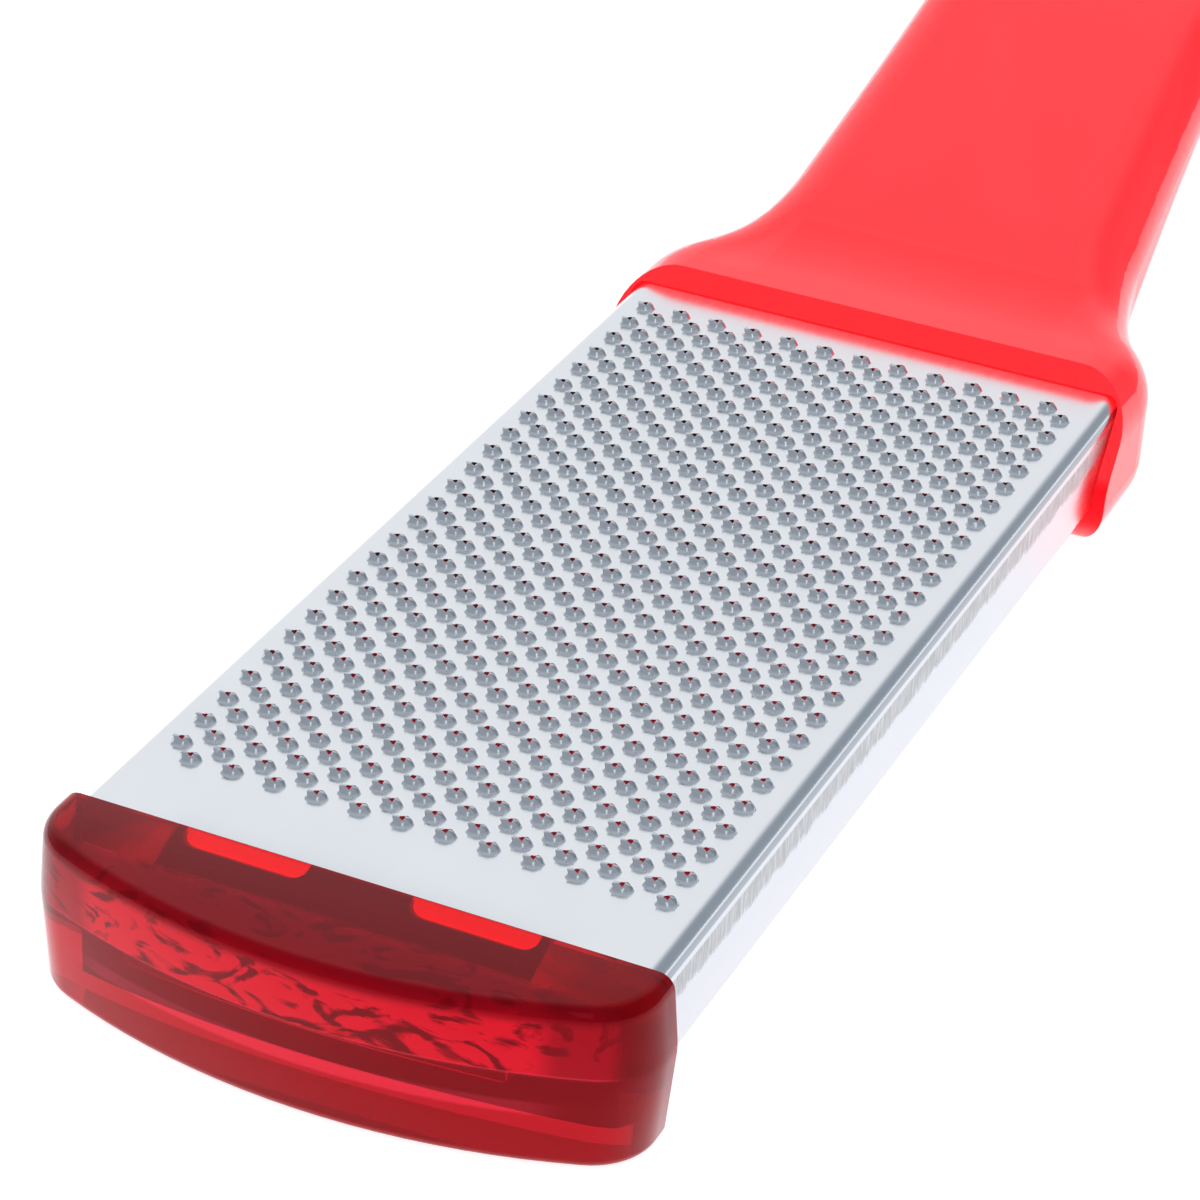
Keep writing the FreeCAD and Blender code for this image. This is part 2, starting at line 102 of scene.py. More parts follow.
def pick_all(piece):
    """In edit mode, select the whole mesh."""
    only(piece)
    enter_edit()
    bpy.ops.mesh.select_mode(type="VERT")
    bpy.ops.mesh.select_all(action="SELECT")


def near(number, place):
    return abs(number - place) < TOUCH


def edge_ends(piece, edge):
    return [piece.data.vertices[corner].co for corner in edge.vertices]


def edge_run(piece, edge):
    first, second = edge_ends(piece, edge)
    return second - first


# %% Helpers for shaping and finishing
MERGE = 0.004 * MM


def in_mm(sizes):
    return [round(size / MM, 2) for size in sizes]


def apply_place():
    """Put the selected object's place, turn and scale into its mesh."""
    bpy.ops.object.transform_apply(location=True, rotation=True, scale=True)


def block(low, high):
    """A cube stretched between two corners."""
    start_clean()
    bpy.ops.mesh.primitive_cube_add(size=1, location=[(a + b) / 2 for a, b in zip(low, high)])
    piece = bpy.context.object
    piece.scale = [b - a for a, b in zip(low, high)]
    apply_place()
    return piece


def extrude(*move):
    """Extrude what is selected and move it."""
    bpy.ops.mesh.extrude_region_move(TRANSFORM_OT_translate={"value": move})


def cut(piece, point, normal):
    """Cut every face along a plane, as with the bisect tool."""
    pick_all(piece)
    bpy.ops.mesh.bisect(plane_co=point, plane_no=normal)
    leave_edit()


def cut_both_sides(piece, place):
    """Cut a piece lengthwise, equally far to the right and to the left of its middle."""
    cut(piece, (place, 0, 0), (1, 0, 0))
    cut(piece, (-place, 0, 0), (1, 0, 0))


def apply_modifier(piece, name, kind, **settings):
    only(piece)
    modifier = piece.modifiers.new(name, kind)
    for setting, chosen in settings.items():
        setattr(modifier, setting, chosen)
    bpy.ops.object.modifier_apply(modifier=modifier.name)


def add_to(piece, other):
    """Join another piece's mesh to this one."""
    only(piece)
    other.select_set(True)
    bpy.ops.object.join()


def settle(piece, name, node, smooth_angle):
    """Finish a piece: its place goes into its mesh, it rides on the tool and stands for its solid."""
    only(piece)
    apply_place()
    bpy.ops.object.shade_smooth_by_angle(angle=math.radians(smooth_angle))
    piece.name = name
    piece.data.name = name
    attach(piece, "root")
    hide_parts(node)
    print(name, len(piece.data.polygons), "faces", in_mm(piece.dimensions))


# %% [markdown]
# ## The sheet of the rasp plate
# On the real tool one stainless sheet is punched flat and then bent into a channel. Here the channel starts
# as a block, its long edges are bevelled into bends, its ends and the strip between the lips are opened, and
# a Solidify modifier gives the skin the thickness of the sheet. The top's middle is left out for the teeth.

# %% Sizes of the plate, read from its solid
plate_low, plate_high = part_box("rasp_plate")
SOLID_TOOTH = 0.7 * MM
WIDTH = plate_high.x - plate_low.x
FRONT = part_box("nose_cap")[1].y
REAR = plate_high.y
BASE = plate_low.z
TOP = plate_high.z - SOLID_TOOTH
WALL = 0.5 * MM
PITCH = 3.0 * MM
COLUMNS = 24
ROWS = 25
SQUARE = PITCH / 2
FIELD_X = COLUMNS * SQUARE / 2
FIELD_Y = ROWS * SQUARE
FIELD_BORDER = 0.25 * MM
OPEN_X = FIELD_X + FIELD_BORDER
OPEN_Y = FIELD_Y + FIELD_BORDER
print("plate", in_mm((WIDTH, FRONT, REAR, BASE, TOP, OPEN_X, OPEN_Y)))

# %% Block and bends
TOP_BEND = 1.3 * MM
TOP_BEND_STEPS = 8
LOW_BEND = 0.9 * MM
LOW_BEND_STEPS = 5
sheet = block((-WIDTH / 2, FRONT, BASE), (WIDTH / 2, REAR, TOP))
pick(sheet, "FACE", lambda face: abs(face.normal.y) > ALONG)
bpy.ops.mesh.delete(type="ONLY_FACE")


def lengthwise(level):
    """A test for the long edges of the block at one level."""

    def wanted(edge):
        return abs(edge_run(sheet, edge).y) > WIDTH and near(edge_ends(sheet, edge)[0].z, level)

    return wanted


for level, bend, steps in ((TOP, TOP_BEND, TOP_BEND_STEPS), (BASE, LOW_BEND, LOW_BEND_STEPS)):
    print("edges bent:", pick(sheet, "EDGE", lengthwise(level)))
    bpy.ops.mesh.bevel(offset=bend, segments=steps, affect="EDGES")
leave_edit()

# %% Openings
LIP = 3.0 * MM
LIP_END = WIDTH / 2 - LIP
TONGUE_X = 12.7 * MM
for place in (LIP_END, OPEN_X, TONGUE_X):
    cut_both_sides(sheet, place)
for place in (OPEN_Y, -OPEN_Y):
    cut(sheet, (0, place, 0), (0, 1, 0))


def to_open(face):
    middle = face.center
    between_lips = near(middle.z, BASE) and abs(middle.x) < LIP_END
    field = near(middle.z, TOP) and abs(middle.x) < OPEN_X and abs(middle.y) < OPEN_Y
    return between_lips or field


pick(sheet, "FACE", to_open)
bpy.ops.mesh.delete(type="FACE")
leave_edit()
print("channel", len(sheet.data.polygons), "faces")

# %% [markdown]
# ## The tongue
# Inside the clear cap the top of the sheet steps down into a tongue with two windows. It is drawn out of the
# front edge with two extrusions, and the windows are cut out of it, with their far corners rounded.

# %% Tongue and windows
TONGUE_RUN = 3.0 * MM
TONGUE_DROP = 2.5 * MM
TONGUE_FLAT = 2.5 * MM


def on_tongue_edge(place):
    return near(place.y, FRONT) and near(place.z, TOP) and abs(place.x) < TONGUE_X + TOUCH


pick(sheet, "EDGE", lambda edge: all(on_tongue_edge(end) for end in edge_ends(sheet, edge)))
extrude(0, -TONGUE_RUN, -TONGUE_DROP)
extrude(0, -TONGUE_FLAT, 0)
leave_edit()

WINDOW_NEAR = 3.5 * MM
WINDOW_FAR = 12.1 * MM
WINDOW_END = FRONT - 1.3 * MM
WINDOW_ROUND = 1.1 * MM
WINDOW_STEPS = 4
for place in (WINDOW_NEAR, WINDOW_FAR):
    cut_both_sides(sheet, place)
cut(sheet, (0, WINDOW_END, 0), (0, 1, 0))


def window(face):
    middle = face.center
    return WINDOW_END < middle.y < FRONT and WINDOW_NEAR < abs(middle.x) < WINDOW_FAR


pick(sheet, "FACE", window)
bpy.ops.mesh.delete(type="FACE")


def window_corner(vertex):
    at_side = any(near(abs(vertex.co.x), side) for side in (WINDOW_NEAR, WINDOW_FAR))
    return at_side and near(vertex.co.y, WINDOW_END)


print("window corners rounded:", pick(sheet, "VERT", window_corner))
bpy.ops.mesh.bevel(offset=WINDOW_ROUND, segments=WINDOW_STEPS, affect="VERTICES")
leave_edit()

# %% Thickness of the sheet
pick_all(sheet)
bpy.ops.mesh.remove_doubles(threshold=MERGE)
bpy.ops.mesh.normals_make_consistent(inside=False)
leave_edit()
apply_modifier(sheet, "thickness", "SOLIDIFY", thickness=WALL, offset=-1)


def field_rim(face):
    middle = face.center
    inside = abs(middle.x) < OPEN_X + TOUCH and abs(middle.y) < OPEN_Y + TOUCH
    return inside and near(middle.z, TOP - WALL / 2) and abs(face.normal.z) < ACROSS


print("rim faces taken out of the field's opening:", pick(sheet, "FACE", field_rim))
bpy.ops.mesh.delete(type="FACE")
leave_edit()
print("sheet", in_mm(sheet.dimensions))

# %% [markdown]
# ## One tooth
# A blunt punch swells the sheet from below into a low dome and bursts it, so that a torn rim stands round a
# hole. The tooth starts as the outline of a small square of sheet. The outline is extruded inwards to a round
# root, up over the shoulder and the crest to the mouth, and down the inside of the hole. So each ring keeps
# the order of the one before it, and no face can fold over. Then the rings are torn: an ear sticks
# out on the left, a short lip on the right, and the near side of the mouth is notched.

# %% Root of the tooth
SEGMENTS = 12
ROOT_SIDE = 0.735 * MM
# The points along a side of the square are ROOT from its middle. Its corners are drawn in to match.
ROOT = ROOT_SIDE * math.sqrt(10) / 3
SHOULDER = 0.65 * MM
SHOULDER_RISE = 0.24 * MM
CREST = 0.45 * MM
CREST_RISE = 0.4 * MM
MOUTH = 0.19 * MM
MOUTH_RISE = 0.52 * MM
HOLE = 0.23 * MM
TOOTH_DEPTH_SHARE = 0.74
TOOTH_TURN = 24.8


def square_outline(level, place):
    """The outline of a square of sheet, with as many corners as a ring of the tooth, all selected."""
    start_clean()
    bpy.ops.mesh.primitive_plane_add(size=SQUARE, location=(*place, level))
    outline = bpy.context.object
    apply_place()
    pick_all(outline)
    bpy.ops.mesh.delete(type="ONLY_FACE")
    bpy.ops.mesh.select_all(action="SELECT")
    bpy.ops.mesh.subdivide(number_cuts=SEGMENTS // 4 - 1)
    bpy.ops.mesh.select_all(action="SELECT")
    return outline


def stretch(x_share, y_share):
    """Resize what is selected, about the middle of the tooth."""
    bpy.ops.transform.resize(value=(x_share, y_share, 1), center_override=(0, 0, 0))


def grow_ring(size, from_size, rise):
    """Extrude the selected ring, move it up or down and resize it."""
    extrude(0, 0, rise)
    stretch(size / from_size, size / from_size)


def at_outline(vertex):
    reach = max(abs(vertex.co.x), abs(vertex.co.y))
    return near(vertex.co.z, 0) and near(reach, SQUARE / 2)


def turn_tooth(degrees):
    """Turn everything except the square's outline, and leave it selected."""
    pick(tooth, "VERT", lambda vertex: not at_outline(vertex))
    bpy.ops.transform.rotate(value=math.radians(degrees), orient_axis="Z", center_override=(0, 0, 0))


def root_corner(vertex):
    return near(abs(vertex.co.x), ROOT_SIDE) and near(abs(vertex.co.y), ROOT_SIDE)


tooth = square_outline(0, (0, 0))
grow_ring(ROOT_SIDE, SQUARE / 2, 0)
pick(tooth, "VERT", root_corner)
corner_share = ROOT / (ROOT_SIDE * math.sqrt(2))
stretch(corner_share, corner_share)
turn_tooth(TOOTH_TURN)
stretch(1, TOOTH_DEPTH_SHARE)

# %% Dome and hole
grow_ring(SHOULDER, ROOT, SHOULDER_RISE)
grow_ring(CREST, SHOULDER, CREST_RISE - SHOULDER_RISE)
grow_ring(MOUTH, CREST, MOUTH_RISE - CREST_RISE)
grow_ring(HOLE, MOUTH, -MOUTH_RISE - WALL)
leave_edit()
print("dome:", len(tooth.data.polygons), "faces")

# %% Torn rim
# Each row has the height of a ring, two angles in degrees and a move in millimetres.
TEARS = (
    (CREST_RISE, 165, 185, (-0.2, 0.08, 0.1)),  # tip of the ear
    (CREST_RISE, 130, 160, (-0.17, 0.05, 0.13)),  # far side of the ear
    (SHOULDER_RISE, 165, 205, (0.07, 0.0, -0.03)),  # hollow below the ear
    (CREST_RISE, 25, 55, (0.06, 0.03, 0.05)),  # far side of the lip
    (CREST_RISE, 5, 25, (0.08, 0.0, 0.02)),  # tip of the lip
    (MOUTH_RISE, 240, 300, (0.0, -0.06, -0.08)),  # notch in the mouth
)


def tear(level, start, stop, move):
    """Move the corners of one ring that lie between two angles, and say how many."""

    def wanted(vertex):
        turn = math.degrees(math.atan2(vertex.co.y, vertex.co.x)) % 360
        return near(vertex.co.z, level) and start < turn < stop

    count = pick(tooth, "VERT", wanted)
    bpy.ops.transform.translate(value=[step * MM for step in move])
    return count


print("corners moved:", [tear(*row) for row in TEARS])
turn_tooth(-TOOTH_TURN)
leave_edit()

# %% Underside of the tooth
# A bridge between two loops in one plane can pair them the wrong way round, so the lower square starts
# deeper than the sheet and is lifted once it is joined to the hole.
BRIDGE_DROP = 1.0 * MM
lower_square = square_outline(-WALL - BRIDGE_DROP, (0, 0))
leave_edit()
add_to(tooth, lower_square)
pick(tooth, "EDGE", lambda edge: all(end.z < -WALL + TOUCH for end in edge_ends(tooth, edge)))
bpy.ops.mesh.bridge_edge_loops()
pick(tooth, "VERT", lambda vertex: near(vertex.co.z, -WALL - BRIDGE_DROP))
bpy.ops.transform.translate(value=(0, 0, BRIDGE_DROP))
leave_edit()
print("one tooth:", len(tooth.data.polygons), "faces")

# %% [markdown]
# ## The field of teeth
# Neighbouring columns are half a pitch apart and every other one is set back, so a cell holds two teeth on
# one diagonal and two plain squares on the other. Two Array modifiers repeat it across and along the plate.
# A little random movement at the tips makes each tooth tear its own way. A narrow border is left between the
# field and the sheet. An edge across each of its corners parts it into four strips, and each is closed with
# one long face, above and below.

# %% Cell and arrays
TIP_LEVEL = 0.2 * MM
TIP_SPREAD = 0.045 * MM
TIP_SEED = 4
pick_all(tooth)
bpy.ops.mesh.duplicate_move(TRANSFORM_OT_translate={"value": (SQUARE, -SQUARE, 0)})
leave_edit()
for level in (0, -WALL):
    for place in ((SQUARE, 0), (0, -SQUARE)):
        plain_square = square_outline(level, place)
        bpy.ops.mesh.edge_face_add()
        leave_edit()
        add_to(tooth, plain_square)
only(tooth)
tooth.location = (-FIELD_X + SQUARE / 2, -FIELD_Y + SQUARE * 3 / 2, TOP)
apply_place()
for count, step in ((COLUMNS // 2, (PITCH, 0, 0)), (ROWS, (0, PITCH, 0))):
    apply_modifier(
        tooth, "rows", "ARRAY", count=count, use_relative_offset=False, use_constant_offset=True,
        constant_offset_displace=step, use_merge_vertices=True, merge_threshold=MERGE,
    )
pick_all(tooth)
bpy.ops.mesh.remove_doubles(threshold=MERGE)
pick(tooth, "VERT", lambda vertex: vertex.co.z > TOP + TIP_LEVEL)
bpy.ops.transform.vertex_random(offset=TIP_SPREAD, seed=TIP_SEED)
leave_edit()
print("field:", len(tooth.data.polygons), "faces", in_mm(tooth.dimensions))


# %% Join the field to the sheet
def pick_open_edges(piece):
    """Select the edges that don't lie between two faces turned the same way, and list them."""
    only(piece)
    enter_edit()
    bpy.ops.mesh.select_mode(type="EDGE")
    bpy.ops.mesh.select_all(action="DESELECT")
    bpy.ops.mesh.select_non_manifold()
    leave_edit()
    return [edge for edge in piece.data.edges if edge.select]


def border_corner(level, x_way, y_way):
    """A test for the two corners, of the field and of the opening, that face each other."""

    def wanted(vertex):
        place = vertex.co
        of_field = near(place.x, x_way * FIELD_X) and near(place.y, y_way * FIELD_Y)
        of_opening = near(place.x, x_way * OPEN_X) and near(place.y, y_way * OPEN_Y)
        return near(place.z, level) and (of_field or of_opening)

    return wanted


def on_border(edge, level, x_way, y_way):
    """Whether an edge lies on the strip at one side of the field."""
    reach = FIELD_X if x_way else FIELD_Y
    ends = edge_ends(rasp, edge)
    outside = all(end.x * x_way + end.y * y_way > reach - TOUCH for end in ends)
    return outside and all(near(end.z, level) for end in ends)


add_to(sheet, tooth)
rasp = sheet
for level in (TOP, TOP - WALL):
    for x_way, y_way in ((-1, -1), (1, -1), (1, 1), (-1, 1)):
        pick(rasp, "VERT", border_corner(level, x_way, y_way))
        bpy.ops.mesh.edge_face_add()
    for x_way, y_way in ((-1, 0), (1, 0), (0, -1), (0, 1)):
        for edge in pick_open_edges(rasp):
            edge.select = on_border(edge, level, x_way, y_way)
        enter_edit()
        bpy.ops.mesh.edge_face_add()
pick_all(rasp)
bpy.ops.mesh.normals_make_consistent(inside=False)
print("open edges left:", len(pick_open_edges(rasp)))
PLATE_SMOOTH = 42
settle(rasp, "rasp_plate_punched", "rasp_plate", PLATE_SMOOTH)

# %% [markdown]
# ## The nose cap
# The cap is one clear moulding. Seen from above it is a shallow bow between two round corners, and from the
# front it has a crease all round at about half its height. Its outline is drawn as a draughtsman would, with
# arcs that run into each other, and then extruded up through the crease to the top. A socket takes the
# tongue and the tenon.

# %% Outline of the cap
cap_low, cap_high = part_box("nose_cap")
CAP_HALF = 21.3 * MM
CAP_CORNER = 5.0 * MM
CAP_BOW = 47.0 * MM
CORNER_STEPS = 10
BOW_STEPS = 20
START_SIZE = 1.0 * MM
bow_y = cap_low.y + CAP_BOW
corner_x = CAP_HALF - CAP_CORNER
corner_y = bow_y - math.sqrt((CAP_BOW - CAP_CORNER) ** 2 - corner_x ** 2)
corner_turn = math.atan2(bow_y - corner_y, corner_x)
bow_turn = math.pi - 2 * corner_turn


def sweep(centre, angle, steps):
    """Draw an arc from the selected corner round a centre."""
    bpy.ops.mesh.spin(steps=steps, angle=angle, center=centre, axis=(0, 0, 1))


start_clean()
bpy.ops.mesh.primitive_plane_add(size=START_SIZE, location=(CAP_HALF, FRONT, 0))
cap = bpy.context.object
apply_place()
pick_all(cap)
bpy.ops.mesh.merge(type="CENTER")
extrude(0, corner_y - FRONT, 0)
sweep((corner_x, corner_y, 0), corner_turn, CORNER_STEPS)
sweep((0, bow_y, 0), bow_turn, BOW_STEPS)
sweep((-corner_x, corner_y, 0), corner_turn, CORNER_STEPS)
extrude(0, FRONT - corner_y, 0)
bpy.ops.mesh.select_all(action="SELECT")
bpy.ops.mesh.remove_doubles(threshold=MERGE)
leave_edit()
print("cap outline:", len(cap.data.vertices), "corners", in_mm(cap.dimensions))

# %% Body of the cap
CREASE = 6.9 * MM
CROWN = cap_high.z
BASE_WIDTH_SHARE = 0.975
BASE_DEPTH_SHARE = 0.9
CREASE_DEPTH_SHARE = 0.925
CROWN_WIDTH_SHARE = 0.975
CROWN_ROUND = 1.0 * MM
CREASE_ROUND = 0.5 * MM
BASE_ROUND = 0.8 * MM
# level, size and steps of each rounding
ROUNDINGS = ((CROWN, CROWN_ROUND, 5), (CREASE, CREASE_ROUND, 3), (0, BASE_ROUND, 4))


def resize_level(width_share, depth_share):
    bpy.ops.transform.resize(value=(width_share, depth_share, 1), center_override=(0, FRONT, 0))


pick_all(cap)
resize_level(BASE_WIDTH_SHARE, BASE_DEPTH_SHARE)
bpy.ops.mesh.edge_face_add()
extrude(0, 0, CREASE)
resize_level(1 / BASE_WIDTH_SHARE, CREASE_DEPTH_SHARE / BASE_DEPTH_SHARE)
extrude(0, 0, CROWN - CREASE)
resize_level(CROWN_WIDTH_SHARE, 1 / CREASE_DEPTH_SHARE)
leave_edit()


def cap_ring(level):
    """A test for the edges round the front of the cap at one level."""

    def wanted(edge):
        ends = edge_ends(cap, edge)
        return all(near(end.z, level) for end in ends) and not all(near(end.y, FRONT) for end in ends)

    return wanted


for level, size, steps in ROUNDINGS:
    print("edges rounded:", pick(cap, "EDGE", cap_ring(level)))
    bpy.ops.mesh.bevel(offset=size, segments=steps, affect="EDGES")
pick_all(cap)
bpy.ops.mesh.normals_make_consistent(inside=False)
leave_edit()

# %% Socket of the cap
FIT = 0.1 * MM
OVERRUN = 1.0 * MM
SOCKET_X = TONGUE_X + FIT
SOCKET_LOW = 5.2 * MM
SOCKET_HIGH = TOP - TONGUE_DROP + FIT
SOCKET_END = FRONT - TONGUE_RUN - TONGUE_FLAT - FIT
SOCKET_ROUND = 0.4 * MM
SOCKET_STEPS = 3
SMOOTH = 30
socket = block((-SOCKET_X, SOCKET_END, SOCKET_LOW), (SOCKET_X, FRONT + OVERRUN, SOCKET_HIGH))
cut(socket, (0, FRONT - TONGUE_RUN, 0), (0, 1, 0))
slope = TONGUE_DROP / TONGUE_RUN
pick(socket, "VERT", lambda vertex: vertex.co.y > FRONT and near(vertex.co.z, SOCKET_HIGH))
bpy.ops.transform.translate(value=(0, 0, slope * (TONGUE_RUN + OVERRUN)))
pick(socket, "EDGE", lambda edge: near(edge_ends(socket, edge)[0].y, SOCKET_END))
bpy.ops.mesh.bevel(offset=SOCKET_ROUND, segments=SOCKET_STEPS, affect="EDGES")
leave_edit()
apply_modifier(cap, "socket", "BOOLEAN", operation="DIFFERENCE", object=socket, solver="EXACT")
bpy.data.objects.remove(socket)
settle(cap, "nose_cap_moulded", "nose_cap", SMOOTH)

# %% [markdown]
# ## The fine face below
# A sheet of emery is stuck under the core with a layer of foam tape. Both are cut with round corners. The
# foam's cut sides draw in a little at half height, as soft foam does under a press knife, and the paper's
# edge is crisp.

# %% Foam and emery
PAD_CORNER = 2.5 * MM
PAD_STEPS = 8
FOAM_WAIST_SHARES = (0.988, 0.994, 1)
EMERY_EDGE = 0.08 * MM
EMERY_STEPS = 2


def pad(node):
    """A flat block with round corners, as large as its solid."""
    piece = block(*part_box(node))
    pick(piece, "EDGE", lambda edge: abs(edge_run(piece, edge).normalized().z) > ALONG)
    bpy.ops.mesh.bevel(offset=PAD_CORNER, segments=PAD_STEPS, affect="EDGES")
    leave_edit()
    return piece


foam_low, foam_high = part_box("foam_tape")
foam_middle = (foam_low.z + foam_high.z) / 2
foam_centre = (0, (foam_low.y + foam_high.y) / 2, 0)
foam = pad("foam_tape")
cut(foam, (0, 0, foam_middle), (0, 0, 1))
print("corners drawn in:", pick(foam, "VERT", lambda vertex: near(vertex.co.z, foam_middle)))
bpy.ops.transform.resize(value=FOAM_WAIST_SHARES, center_override=foam_centre)
leave_edit()
settle(foam, "foam_layer", "foam_tape", SMOOTH)

emery = pad("emery_sheet")
pick(emery, "EDGE", lambda edge: abs(edge_run(emery, edge).normalized().z) < ACROSS)
bpy.ops.mesh.bevel(offset=EMERY_EDGE, segments=EMERY_STEPS, affect="EDGES")
leave_edit()
settle(emery, "emery_face", "emery_sheet", SMOOTH)

# %% [markdown]
# ## Materials
# Each finish is a small set of nodes that reads Object coordinates, so a pattern keeps its real size and its
# place on the piece, whichever way the tool is turned.


# %% Helpers for materials
class Finish:
    """A material with its node tree, and short ways to add nodes to it."""

    def __init__(self, name, tree=None):
        if tree is None:
            self.material = bpy.data.materials.new(name)
            self.material.use_nodes = True
            tree = self.material.node_tree
        self.nodes = tree.nodes
        self.links = tree.links
        self.place = None

    def feed(self, socket, source):
        """Link a socket to another node's output, or set it to a constant."""
        if isinstance(source, bpy.types.NodeSocket):
            self.links.new(source, socket)
        else:
            socket.default_value = source

    def set(self, **sources):
        """Feed the shader's sockets: base_color stands for Base Color, and so on."""
        shader = self.nodes["Principled BSDF"]
        for name, source in sources.items():
            self.feed(shader.inputs[name.replace("_", " ").title().replace("Ior", "IOR")], source)

    def node(self, kind, inputs=None, **settings):
        node = self.nodes.new(kind)
        for name, setting in settings.items():
            setattr(node, name, setting)
        for socket, source in (inputs or {}).items():
            self.feed(node.inputs[socket], source)
        return node

    def coordinates(self):
        if self.place is None:
            self.place = self.node("ShaderNodeTexCoord").outputs["Object"]
        return self.place

    def axes(self):
        return self.node("ShaderNodeSeparateXYZ", {"Vector": self.coordinates()}).outputs

    def noise(self, scale, detail=3.0, stretch=(1, 1, 1), turn=(0, 0, 0), distortion=0.0):
        """Noise with so many waves to a metre, stretched and turned on the piece."""
        mapping = self.node(
            "ShaderNodeMapping", {"Vector": self.coordinates(), "Rotation": turn, "Scale": stretch}
        )
        texture = self.node(
            "ShaderNodeTexNoise",
            {"Vector": mapping.outputs["Vector"], "Scale": scale, "Detail": detail, "Distortion": distortion},
        )
        return texture.outputs["Fac"]

    def cells(self, scale):
        """A pattern of small cells, so many to a metre."""
        return self.node("ShaderNodeTexVoronoi", {"Vector": self.coordinates(), "Scale": scale}).outputs

    def math(self, operation, first, second=0.0, third=0.0):
        inputs = {0: first, 1: second, 2: third}
        return self.node("ShaderNodeMath", inputs, operation=operation).outputs["Value"]

    def times(self, first, *others):
        for other in others:
            first = self.math("MULTIPLY", first, other)
        return first

    def distance(self, source, place):
        """How far a coordinate is from a place, either way."""
        return self.math("ABSOLUTE", self.math("SUBTRACT", source, place))

    def fade(self, source, start, stop, low=0.0, high=1.0):
        """A smooth step from low to high while the source goes from start to stop."""
        inputs = {"Value": source, "From Min": start, "From Max": stop, "To Min": low, "To Max": high}
        return self.node("ShaderNodeMapRange", inputs, interpolation_type="SMOOTHSTEP").outputs["Result"]

    def mix(self, share, first, second):
        """A blend of two colours."""
        return self.node("ShaderNodeMix", {0: share, 6: first, 7: second}, data_type="RGBA").outputs[2]

    def cover(self, colour, *layers):
        """Lay other colours over one, each with its own share."""
        for share, over in layers:
            colour = self.mix(share, colour, over)
        return colour

    def bump(self, height, strength, distance):
        inputs = {"Height": height, "Strength": strength, "Distance": distance}
        self.set(normal=self.node("ShaderNodeBump", inputs).outputs["Normal"])


def wear(piece, finish):
    piece.data.materials.clear()
    piece.data.materials.append(finish.material)
    print(piece.name, "wears", finish.material.name, "with", len(finish.nodes), "nodes")


# %% [markdown]
# ### Stainless sheet
# Bright rolled steel with a faint grain along the plate. The side walls are painted a darker grey as painted
# shade, a narrow band along each bend is painted darker still as painted shade, for the dark that the bend
# mirrors, and the teeth are painted greyer as painted shade. The bending tool has scuffed a band along each
# side wall, with slanting scratches and a ragged lower border, and a bright line of wall is left above it,
# below the painted shade of the bend.
# Depth below the top of the plate places them all. The tongue is painted dark as shade, since little light
# gets into the cap. Some red light comes up through the holes from the clear core. A render loses it in the
# many reflections on its way out, so a weak red glow on the steel inside and below the holes stands for it.
# The glow is placed by position alone, so it tints the inner edge of the lips below as well.

# %% Colours and places on the sheet
STEEL_DULL = (0.84, 0.86, 0.885, 1)
STEEL_BRIGHT = (0.9, 0.915, 0.93, 1)
# Painted shade: the side walls are a darker grey.
WALL_PAINTED_SHADE = (0.61, 0.635, 0.68, 1)
# Painted shade: a dark band along each bend, for the dark that the bend mirrors.
BEND_PAINTED_SHADE = (0.32, 0.345, 0.38, 1)
# Painted shade: the teeth are greyer.
TOOTH_PAINTED_SHADE = (0.64, 0.66, 0.69, 1)
STEEL_SCUFF = (0.41, 0.41, 0.415, 1)
# Painted shade: the tongue inside the cap is dark.
TONGUE_PAINTED_SHADE = (0.12, 0.12, 0.125, 1)
HOLE_RED = (1.0, 0.02, 0.04, 1)
# Each pair says where a fade starts and where it is complete. The first ones are depths.
TOOTH_SHADE_FADE = (-0.05 * MM, -0.25 * MM)
HOLE_FADE = (0.08 * MM, 0.2 * MM)
BEND_SHADE_FADE = (0.6 * MM, 0.8 * MM)
BEND_SHADE_END_FADE = (1.3 * MM, 1.15 * MM)
WALL_SHADE_FADE = (0.95 * MM, 1.25 * MM)
SCUFF_FADE = (1.6 * MM, 1.75 * MM)
SCUFF_END_FADE = (3.7 * MM, 3.1 * MM)
TONGUE_SHADE_FADE = (FRONT, FRONT - 0.3 * MM)
FIELD_X_FADE = (FIELD_X + 0.2 * MM, FIELD_X)
FIELD_Y_FADE = (-FIELD_Y - 0.2 * MM, -FIELD_Y)
GLOW_FADE = (-25.0 * MM, 35.0 * MM)
GLOW_STRENGTHS = (0.03, 0.4)
RAGGED = 1.2 * MM
RAGGED_WAVES = 900
PATCH_WAVES = 120
GRAIN_WAVES = (3000, 60, 600)
SCRATCH_WAVES = (200, 3600, 500)
SCRATCH_TURN = (math.radians(35), 0, 0)
SCRATCH_FADE = (0.25, 0.65)
SCRATCH_LEAST = 0.45
STEEL_ROUGHNESS = 0.16
GRAIN_ROUGHNESS = 0.1
SCUFF_ROUGHNESS = 0.2

# %% Stainless sheet
steel = Finish("stainless_sheet")
along = steel.axes()
depth = steel.math("SUBTRACT", TOP, along["Z"])
ragged = steel.math("MULTIPLY_ADD", steel.noise(RAGGED_WAVES, detail=4.0), RAGGED, -RAGGED / 2)
scratches = steel.noise(1.0, detail=2.0, stretch=SCRATCH_WAVES, turn=SCRATCH_TURN)
scuff = steel.times(
    steel.fade(depth, *SCUFF_FADE),
    steel.fade(steel.math("ADD", depth, ragged), *SCUFF_END_FADE),
    steel.fade(scratches, *SCRATCH_FADE, low=SCRATCH_LEAST),
)
